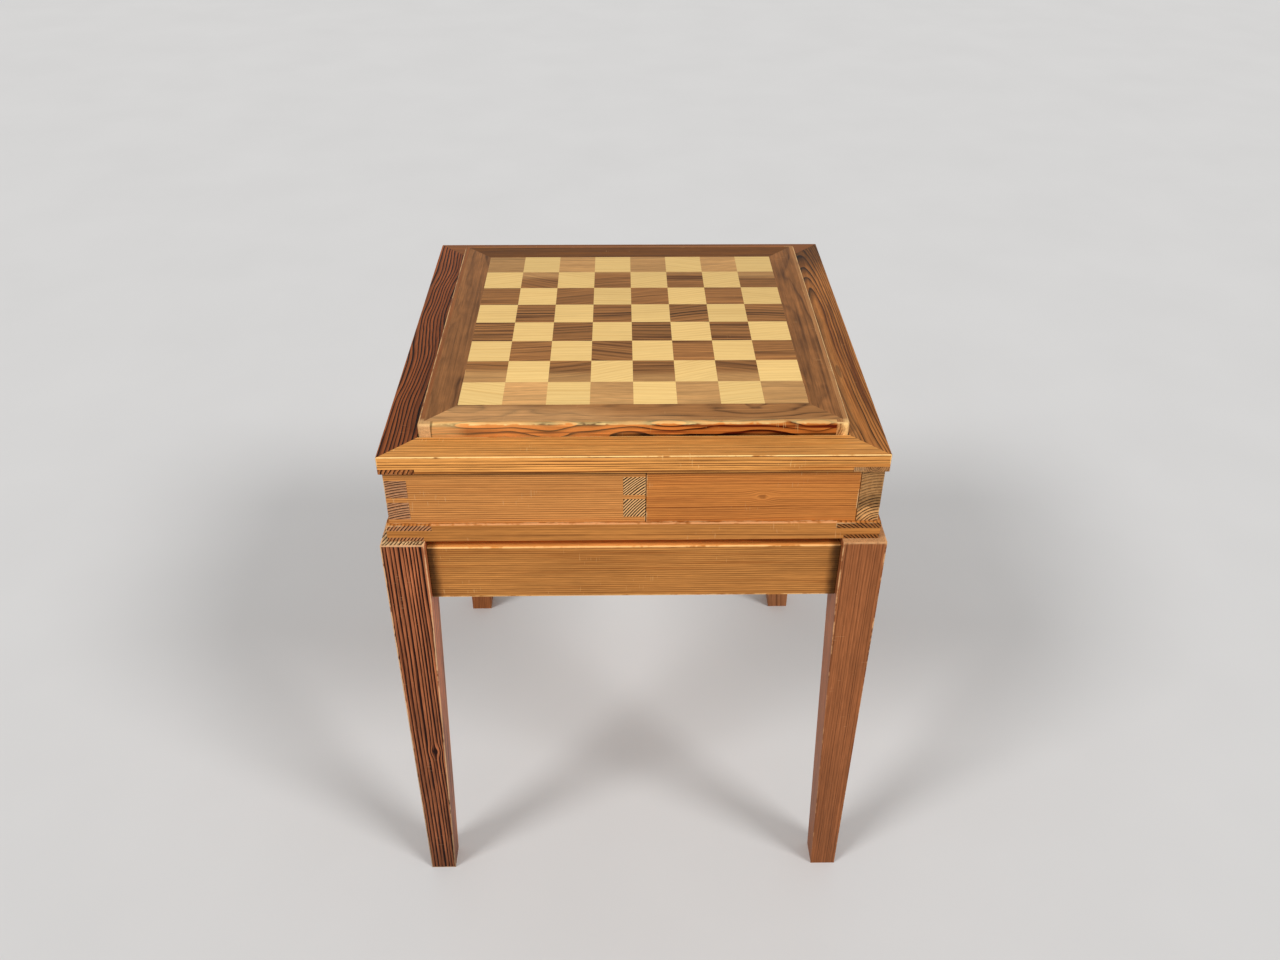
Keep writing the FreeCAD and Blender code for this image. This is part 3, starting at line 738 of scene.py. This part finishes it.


# The case pieces get the painted shade line under the top frame.
CASE = dict(early=(229, 155, 84), late=(108, 50, 10), streak=(176, 102, 42), contrast=0.85,
            tone=0.4, fibre=0.26, grime=painted_shade_under_frame)
dress("front_left_panel", "x", (15, -190), CASE, seed=14.2, ring=2.3, wander=5, wave=500, even=0.7)
dress("rear_right_panel", "x", (-20, -170), CASE, seed=15.8, ring=2.5)
dress("left_case_side", "y", (20, -110), CASE, seed=16.3, ring=2.6, wander=5, even=0.6,
      end=(0.84, 0.95, 1.65), cut=dict(contrast=1.5, late=(34, 14, 4), sharp=0.9))
dress("right_case_side", "y", (12, -40), CASE, seed=17.5, ring=3.0, wander=9, even=0.4,
      end=(1.02, 1.22, 1.62), grime=dark_upper,
      cut=dict(contrast=calm_upper, late=(16, 6, 1), sharp=1.0, figure=0.8))
# The divider gets the painted shade line under the top frame too.
dress("case_divider", "y", (90, -90), seed=18.9, ring=2.3, wander=2, early=(252, 208, 140),
      late=(6, 2, 0), streak=(130, 88, 46), end=(1.11, 0.94, 0.92), contrast=2.6, even=0.7,
      grime=painted_shade_under_frame, wear=0.2)

# --- Top frame ------------------------------------------------------------------------------

FACE_OUT = FRAME_HALF - 0.4  # outside this the top frame shows its outer faces
FACE_IN = FRAME_HALF - 1.2  # inside this it shows its top


def painted_face_light_and_shade(point):
    """Painted light and shade: the front rail's face is painted brighter than its top, as the light
    falls on it, and painted darker along its lower edge, where the gap below shades it.
    """
    face = span(point.y, -FACE_OUT, -FACE_IN, at_low=-0.34, at_high=0.03)
    return most(face, span(point.z, CASE_TOP + 0.6, CASE_TOP + 1.2, at_low=0.5, at_high=-1.0))


def upper_edges(point):
    """The front rail is rubbed and painted with a highlight along its upper edges."""
    return span(point.z, CASE_TOP + 5.0, CASE_TOP + 10.0)


def lined_face(point):
    """The front rail's face shows more of its rings than its top."""
    return span(point.y, -FACE_OUT, -FACE_IN, at_low=2.0, at_high=1.1)


def quiet_left(point):
    """The left rail is cut along its rings at its outer side, and looks calmer there."""
    return span(point.x, -FACE_OUT, -FACE_IN, at_low=0.7, at_high=1.8)


def quiet_right(point):
    """So does the right rail."""
    return span(point.x, FACE_IN, FACE_OUT, at_low=1.0, at_high=0.6)


def pale_inside(point):
    """Sapwood on the right rail's inner edge, towards the front."""
    line = ragged(point.x, point, scale=0.02, reach=10.0)
    inner = span(line, 204.0, 209.0, at_low=0.4, at_high=0.0)
    return inner * span(point.y, -40.0, 140.0, at_low=1.0, at_high=0.2)


def dark_corner(point):
    """The right rail darkens towards its rear mitre."""
    line = ragged(point.y, point, scale=0.05, reach=30.0)
    return span(line, 130.0, 212.0, at_high=0.66)


# The front rail's face is painted lighter than its top, with painted shade along its lower edge.
dress("top_front_rail", "x", (105, 110), seed=20.4, ring=2.0, wander=5, wave=600,
      early=(222, 153, 79), late=(76, 30, 4), streak=(180, 104, 40), worn=(255, 208, 136),
      contrast=lined_face, tone=0.5, fibre=0.34, grime=painted_face_light_and_shade, wear=1.1, rub=upper_edges)
dress("top_rear_rail", "x", (-120, 40), seed=21.7, ring=1.6, early=(140, 86, 46),
      late=(74, 38, 16), streak=(108, 62, 30), worn=(190, 136, 84), tone=0.35)
dress("top_left_rail", "y", (120, -30), seed=22.8, ring=3.4, wander=30, wave=170,
      early=(150, 81, 41), late=(20, 5, 1), streak=(72, 30, 10), worn=(184, 122, 78),
      end=(2.05, 2.65, 2.8), contrast=quiet_left, even=0.5, tone=0.8, fibre=0.42, relief=0.15,
      wear=0.3)
dress("top_right_rail", "y", (-8, -4), seed=23.5, ring=1.9, wander=5, wave=120,
      bows=((1, 16.0, 40.0, 1), (0, -13.0, -20.0, -1)), early=(181, 115, 57), late=(8, 2, 0),
      streak=(88, 44, 18), worn=(200, 142, 82), end=(1.18, 1.48, 2.25), contrast=quiet_right,
      even=0.6, sharp=0.7, sap=pale_inside, grime=dark_corner, tone=0.8, fibre=0.4, relief=0.12,
      wear=0.4)

# --- Board ----------------------------------------------------------------------------------

JOINT_CURVE = 0.012  # how fast the worn joint at the front edge's left end curves away
BEHIND_PALE = 0.3  # how much of the front edge's rubbed top is kept dark behind its arris
BEHIND_DIRT = 0.34  # the grime there
OUTLINE_CLOUD = 0.12
OUTLINE_REACH = 8.0  # millimetres by which clouds move the rubbed outline
WORN_CLOUD = 0.02
WORN_SLANT = 6.5  # the worn part of the front border ends on a slant: along it, per one across
WORN_REACH = (160.0, 10.0)  # millimetres by which clouds move that end, and its inner edge


def board_shape(point):
    """The whole board, so that only its outer arrises are rubbed and highlit."""
    return (0.0, 0.0, BOARD_MIDDLE), (BOARD_HALF, BOARD_HALF, BOARD_TOP - BOARD_MIDDLE)


def behind_arris(point):
    """The front edge's top, but for the worn strip along its arris."""
    depth = ragged(point.y, point, scale=0.05, reach=5.0, detail=3.0)
    top = span(point.z, BOARD_TOP - 0.7, BOARD_TOP - 0.2)
    return span(depth, 4.5 - BOARD_HALF, 7.0 - BOARD_HALF) * top


def pale_left(point):
    """The front edge is pale at its left end and on top, and yellower in its left half."""
    line = ragged(point.x, point, scale=0.05, reach=24.0)
    end = span(line, -160.0, -118.0, at_low=0.57, at_high=0.0)
    height = ragged(point.z, point, scale=0.06, reach=5.0, detail=3.0)
    top = span(height, BOARD_TOP + 0.9, BOARD_TOP + 1.9, at_high=0.85)
    top = top * (1.0 - behind_arris(point) * BEHIND_PALE)
    return most(end, top, span(point.x, -60.0, 60.0, at_low=0.2, at_high=0.0))


def flamed(point):
    """The front edge's rings are blackest right of its middle."""
    left = span(point.x, -30.0, 20.0, at_low=1.7, at_high=2.25)
    right = span(point.x, 115.0, 160.0, at_low=2.25, at_high=1.2)
    return least(left, right)


def painted_seam_shade(point):
    """A painted shade line along the foot of the front edge, towards the right, where it meets the
    rail.
    """
    height = ragged(point.z, point, scale=0.04, reach=2.0)
    foot = span(height, FRAME_TOP + 2.5, FRAME_TOP + 3.3, at_low=0.75, at_high=0.0)
    return foot * span(point.x, -60.0, 0.0, at_low=0.2)


def edge_dirt_and_seam_shade(point):
    """The dark joint at the front edge's left end, worn to a curve, other soiling on the edge, and
    the painted shade line along its foot.
    """
    line = point.x - (point.z - BOARD_MIDDLE) ** 2.0 * JOINT_CURVE
    joint = span(line, 0.7 - LIPPING_INNER, 1.6 - LIPPING_INNER, at_low=0.6, at_high=0.0)
    right = span(point.x, -20.0, 60.0, at_high=0.08)
    return most(joint, painted_seam_shade(point), right, behind_arris(point) * BEHIND_DIRT)


def pale_corner(point):
    """The board's front left corner is rubbed towards bare wood."""
    return span(point.y, 5.5 - BOARD_HALF, 11.5 - BOARD_HALF, at_low=0.8, at_high=0.0)


def pale_outline(point):
    """Its front right corner is rubbed round its outline."""
    cloud = (noise(point, OUTLINE_CLOUD) - NOISE_MIDDLE) * OUTLINE_REACH
    side = span(point.x + cloud, BOARD_HALF - 7.0, BOARD_HALF - 3.0)
    corner = BOARD_HALF - BOARD_MIDDLE
    low = span(point.x - point.z + cloud, corner - 3.5, corner - 0.5)
    front = span(point.y, 2.5 - BOARD_HALF, 8.5 - BOARD_HALF, at_low=0.9, at_high=0.0)
    return most(side, low) * front


def worn_front(point):
    """The front border is rubbed pale towards its outer edge and its left end."""
    cloud = noise(point, WORN_CLOUD)
    end_moved, edge_moved = (cloud * reach for reach in WORN_REACH)
    end = (point.y + BORDER_MIDDLE) * WORN_SLANT + point.x + end_moved
    left = span(end, -40.0, 150.0, at_low=0.62, at_high=0.0)
    line = point.y + edge_moved
    edge = span(line, 8.5 - BOARD_HALF, 18.5 - BOARD_HALF, at_low=0.28, at_high=0.0)
    front = span(point.y, -FIELD_HALF - 1.4, -FIELD_HALF - 0.5, at_low=1.0, at_high=0.0)
    return most(left, edge) * front


# Each draw for a square numbers the squares in its own way
STEP_ROW = 8.0
TURN_ROW = 9.0
TONE_ROW = 11.0
STRIP_APART = 330.0  # millimetres across the log over which the rows' strips are cut
STRIP_DEPTH = 22.0  # millimetres above the pith
STRIP_STEP = (5.0, 7.0, 90.0)  # how far two squares of a strip are apart, across, up and along
STRIP_LEAN = 0.42  # how far a square's grain may lean
OUTER_SAP = 0.85  # how pale the outer rows are, and the rows beside them where they meet
FADE_SAP = 0.75
FADE = (8.0, 22.0)  # millimetres into those rows, from where it fades to where it is gone
FADE_SEED = 4.4
FADE_UNEVEN = 20.0  # millimetres by which the columns differ in it
FADE_FRONT = 14.0  # millimetres by which it reaches further in at the front
FALLOFF_ROWS = (-120.0, 130.0)  # from where to where the rows are painted darker, a painted shade for light falling off towards the rear
FALLOFF_FRONT = -0.03  # its level at the front, below 0 so that the front is painted a little lighter


def square_of(point):
    """The row and the column of the square at a point."""
    row = reckon("FLOOR", (point.y + FIELD_HALF) / SQUARE)
    return row, reckon("FLOOR", (point.x + FIELD_HALF) / SQUARE)


def strips(offset):
    """The squares of a row are cut one after another from one strip, each row from its own."""
    def place(point):
        row, column = square_of(point)
        strip = random(row + offset)
        step = random(row * STEP_ROW + (column + offset))
        turn = random(row * TURN_ROW + (column + offset * 2.0))
        middle = (column + 0.5) * SQUARE - FIELD_HALF
        lean = (point.x - middle) * ((turn * 2.0 - 1.0) ** 3.0 * STRIP_LEAN)
        step_across, step_up, step_along = (step * size for size in STRIP_STEP)
        across = point.y + (strip * STRIP_APART + step_across) + lean
        return combine(across, step_up + STRIP_DEPTH, point.x + step_along)

    return place


def pale_rows(point):
    """The outer rows are sapwood. In the rows beside them it fades in, the more at the front."""
    _, column = square_of(point)
    depth = FIELD_HALF - abs(point.y)
    outer = reckon("LESS_THAN", depth, SQUARE) * OUTER_SAP
    depth = depth - reckon("LESS_THAN", point.y, 0.0) * FADE_FRONT
    depth = depth + random(column + FADE_SEED) * FADE_UNEVEN
    start, stop = (SQUARE + into for into in FADE)
    return most(outer, span(depth, start, stop, at_low=FADE_SAP, at_high=0.0))


def square_tones_and_falloff(amount, rear):
    """Each square has its own tone, and all are painted a little darker towards the rear, as
    painted shade where the light falls off.
    """
    def tone(point):
        row, column = square_of(point)
        chance = (random(row * TONE_ROW + column) - 0.5) * amount
        slow = span(point.y, *FALLOFF_ROWS, at_low=FALLOFF_FRONT, at_high=rear, way="LINEAR")
        return slow + chance

    return tone


def middle_rows(point):
    """The strips of the middle rows have the blackest streaks."""
    return span(abs(point.y), SQUARE - 1.0, SQUARE + 1.0, at_low=1.55, at_high=0.75)


LIPPING = dict(streak=(140, 56, 18), worn=(250, 212, 140), fibre=0.3, shape=board_shape)
SIDE_LIPPING = dict(LIPPING, late=(116, 72, 38), ring=2.4, wander=8, arris=2.6)
# The front edge gets the painted shade line along its foot, besides its dark joint and soiling.
dress("front_lipping", "x", (14, -12), LIPPING, slope=(0.012, 0.0), seed=24.1, ring=4.4,
      wander=28, wave=90, early=(230, 137, 60), late=(64, 9, 0), streak=(112, 34, 12),
      contrast=flamed, even=0.6, sharp=1.5, sap=pale_left, grime=edge_dirt_and_seam_shade, tone=1.3, wear=0.45,
      arris=2.6)
dress("rear_lipping", "x", (30, 4), LIPPING, seed=25.6, ring=2.2, wander=10,
      early=(156, 101, 53), late=(70, 32, 12), wear=0.8, arris=3.0)
dress("left_lipping", "y", (26, -4), SIDE_LIPPING, seed=26.2, early=(142, 88, 48),
      worn=(238, 190, 128), end=(1.32, 1.42, 1.55), sap=pale_corner, wear=1.0)
dress("right_lipping", "y", (-24, 6), SIDE_LIPPING, seed=27.9, early=(172, 120, 72),
      worn=(238, 192, 128), end=(1.64, 1.84, 1.85), cut=dict(contrast=2.4), sap=pale_outline,
      wear=1.6)

WALNUT = dict(worn=(224, 172, 114), end=(0.8, 0.8, 0.8), soft=1.0, fibre=0.36, wear=0.0,
              dents=0.3, relief=0.02, arris=0.5)
dress("left_border", "y", (20, -60), WALNUT, seed=28.4, ring=6.0, wander=26, wave=110,
      early=(145, 96, 55), late=(56, 30, 12), streak=(80, 50, 27), contrast=1.0, tone=0.8,
      figure=0.6)
dress("right_border", "y", (-18, -55), WALNUT, seed=29.8, ring=7.0, wander=24, wave=110,
      early=(147, 96, 53), late=(50, 26, 10), streak=(90, 55, 30), tone=0.6, figure=0.7)
dress("front_border", "x", (12, -30), WALNUT, seed=30.5, ring=3.0, wander=26, wave=120,
      early=(166, 113, 64), late=(46, 20, 4), streak=(104, 64, 34), contrast=1.3, sharp=1.6,
      sap=worn_front, tone=0.9, figure=0.15)
dress("rear_border", "x", (-16, -52), WALNUT, seed=31.3, ring=4.0, wander=12, wave=200,
      early=(114, 68, 26), late=(40, 20, 6), streak=(74, 46, 24), contrast=0.9, tone=0.7,
      figure=0.25)

VENEER = dict(soft=1.0, wear=0.0, arris=0.5)
# Both fields are painted darker towards the rear as painted shade.
dress("light_squares", "x", (0, 0), VENEER, place=strips(3.0), seed=32.6, ring=5.0, wander=8,
      wave=120, early=(243, 204, 131), late=(216, 168, 94), streak=(230, 188, 114),
      contrast=0.65, tone=0.2, fibre=0.1, dents=0.0, relief=0.01, grime=square_tones_and_falloff(0.09, 0.14))
dress("dark_squares", "x", (0, 0), VENEER, place=strips(11.0), seed=33.1, ring=6.0, wander=16,
      wave=110, early=(162, 109, 60), late=(24, 10, 1), streak=(86, 50, 24),
      worn=(226, 174, 110), contrast=middle_rows, sharp=1.2, sap=pale_rows, tone=0.9,
      fibre=0.34, dents=0.1, relief=0.02, grime=square_tones_and_falloff(0.27, 0.17))

# --- Inside ---------------------------------------------------------------------------------

BARE = dict(early=(216, 178, 128), late=(186, 138, 88), streak=(200, 156, 104), contrast=0.7,
            tone=0.2, wear=0.3, dents=0.3)
PLY = dict(early=(206, 168, 120), late=(180, 138, 92), streak=(192, 150, 102), contrast=0.5,
           tone=0.2, wear=0.0, dents=0.1, slope=(0.01, 0.03), ring=5.0, wander=20)
# The drawer fronts get the painted shade line under the top frame.
DRAWER = dict(early=(213, 134, 64), late=(110, 48, 14), streak=(176, 98, 44), contrast=0.95,
              tone=0.35, fibre=0.28, grime=painted_shade_under_frame, ring=2.1, wander=9, wave=260)
dress("board_core", "x", (0, -40), seed=34.7, ring=3.0)
dress("board_backing", "x", (0, -50), seed=35.2, ring=4.0, early=(170, 120, 78),
      late=(130, 86, 52))
dress("tray_panel", "x", (0, -70), PLY, seed=36.3)
dress("left_floor_panel", "y", (0, -80), PLY, seed=37.4)
dress("right_floor_panel", "y", (0, -90), PLY, seed=38.5)
dress("centre_kicker", "y", (0, -60), BARE, seed=39.6, ring=2.0)
dress("leg_dowels", "z", (0, -60), BARE, seed=40.7, ring=1.5)
for drawer, hand, seed in (("front_drawer", 1, 41.0), ("rear_drawer", -1, 51.0)):
    dress(drawer + "_front", "x", (18 * hand, -150), DRAWER, seed=seed, knot=(9 * hand, 2, 0, 6, 7))
    dress(drawer + "_left_side", "y", (30, -90), BARE, seed=seed + 1.1, ring=2.0)
    dress(drawer + "_right_side", "y", (-30, -80), BARE, seed=seed + 2.3, ring=2.2)
    dress(drawer + "_back", "x", (25, -85), BARE, seed=seed + 3.4, ring=2.1)
    dress(drawer + "_bottom", "x", (0, -70), PLY, seed=seed + 4.6)


STEEL_COLOURS = ((120, 118, 114), (190, 188, 184))
STEEL_GRAIN = (3.0, 3.0, 0.6)  # per millimetre, finer across the nails than along them


def steel_material():
    """Plain nails: dull steel with a drawn grain."""
    material, shader = new_material("nail_steel")
    point, _ = table_point(material)
    grain = noise(vector("MULTIPLY", point, STEEL_GRAIN), detail=3.0)
    plug(shader["Base Color"], blend(grain, *map(linear, STEEL_COLOURS)))
    plug(shader["Roughness"], span(grain, 0.3, 0.7, at_low=0.3, at_high=0.5))
    shader["Metallic"].default_value = 1.0
    return material


STEEL = steel_material()
for name in ("floor_pins", "front_drawer_pins", "rear_drawer_pins"):
    cover(name, STEEL)

# --- Eased arrises --------------------------------------------------------------------------

WELD_REACH = 1e-6  # metres
EASE_SEGMENTS = 2
EASE_ANGLE = math.radians(35)
EASED = (  # nodes by their names, and how wide their arrises are eased, in millimetres
    ("*_leg", 0.9),
    ("*_apron", 0.8),
    ("base_*", 0.4),
    ("top_*", 0.5),
    ("*_panel", 0.3),
    ("case_divider", 0.3),
    ("*_front", 0.3),
    ("*_side", 0.3),
    ("*_back", 0.3),
)


def ease(piece, width):
    """Round a piece's arrises a little."""
    weld = piece.modifiers.new("weld", "WELD")
    weld.merge_threshold = WELD_REACH
    bevel = piece.modifiers.new("arrises", "BEVEL")
    bevel.width = width / MILLI
    bevel.segments = EASE_SEGMENTS
    bevel.limit_method = "ANGLE"
    bevel.angle_limit = EASE_ANGLE


for name, piece in nodes.items():
    for pattern, width in EASED:
        if fnmatch(name, pattern):
            ease(piece, width)

# --- Surroundings ---------------------------------------------------------------------------

FLOOR_HALF = 15.0  # metres
FLOOR_COLOURS = ((214, 213, 212), (221, 220, 219))
FLOOR_CLOUDS = 0.004
FLOOR_ROUGHNESS = 0.9
FLOOR_SPECULAR = 0.1
LAMP_AZIMUTH = 53  # degrees to either side of the front
LAMP_HEIGHT = 43  # degrees above the floor
LAMP_SPREAD = 18  # degrees, for soft shadows
LAMP_POWER = 1.25
WORLD_STRENGTH = 0.42
BACKDROP_STRENGTH = 0.68


def make_floor():
    """A plain pale floor with the faintest unevenness."""
    mesh = bpy.data.meshes.new("floor")
    half = FLOOR_HALF
    corners = [(-half, -half, 0), (half, -half, 0), (half, half, 0), (-half, half, 0)]
    mesh.from_pydata(corners, [], [(0, 1, 2, 3)])
    floor = bpy.data.objects.new("floor", mesh)
    bpy.context.scene.collection.objects.link(floor)
    material, shader = new_material("floor")
    point, _ = table_point(material)
    cloud = noise(point, FLOOR_CLOUDS, detail=3.0)
    plug(shader["Base Color"], blend(cloud, *map(linear, FLOOR_COLOURS)))
    shader["Roughness"].default_value = FLOOR_ROUGHNESS
    shader["Specular IOR Level"].default_value = FLOOR_SPECULAR
    mesh.materials.append(material)


def make_lights():
    """Two soft suns in front, left and right, and an even pale world, seen as pale as the floor."""
    for name, azimuth in (("left", -LAMP_AZIMUTH), ("right", LAMP_AZIMUTH)):
        light = bpy.data.lights.new("sun_" + name, "SUN")
        light.angle = math.radians(LAMP_SPREAD)
        light.energy = LAMP_POWER
        lamp = bpy.data.objects.new("sun_" + name, light)
        bpy.context.scene.collection.objects.link(lamp)
        turn, rise = math.radians(azimuth), math.radians(LAMP_HEIGHT)
        reach = math.cos(rise)
        lamp.location = (math.sin(turn) * reach, -math.cos(turn) * reach, math.sin(rise))
        lamp.rotation_euler = (-lamp.location).to_track_quat("-Z", "Y").to_euler()
    world = bpy.data.worlds.new("world")
    bpy.context.scene.world = world
    world.use_nodes = True
    path = world.node_tree.nodes.new("ShaderNodeLightPath").outputs
    rays = ("Is Camera Ray", "Is Glossy Ray", "Is Transmission Ray")
    seen = most(*(Value(path[ray]) for ray in rays))
    background = world.node_tree.nodes["Background"].inputs
    background["Color"].default_value = (1, 1, 1, 1)
    plug(background["Strength"], between(seen, WORLD_STRENGTH, BACKDROP_STRENGTH))


make_floor()
make_lights()
make_camera()
bpy.context.scene.view_settings.view_transform = "Standard"
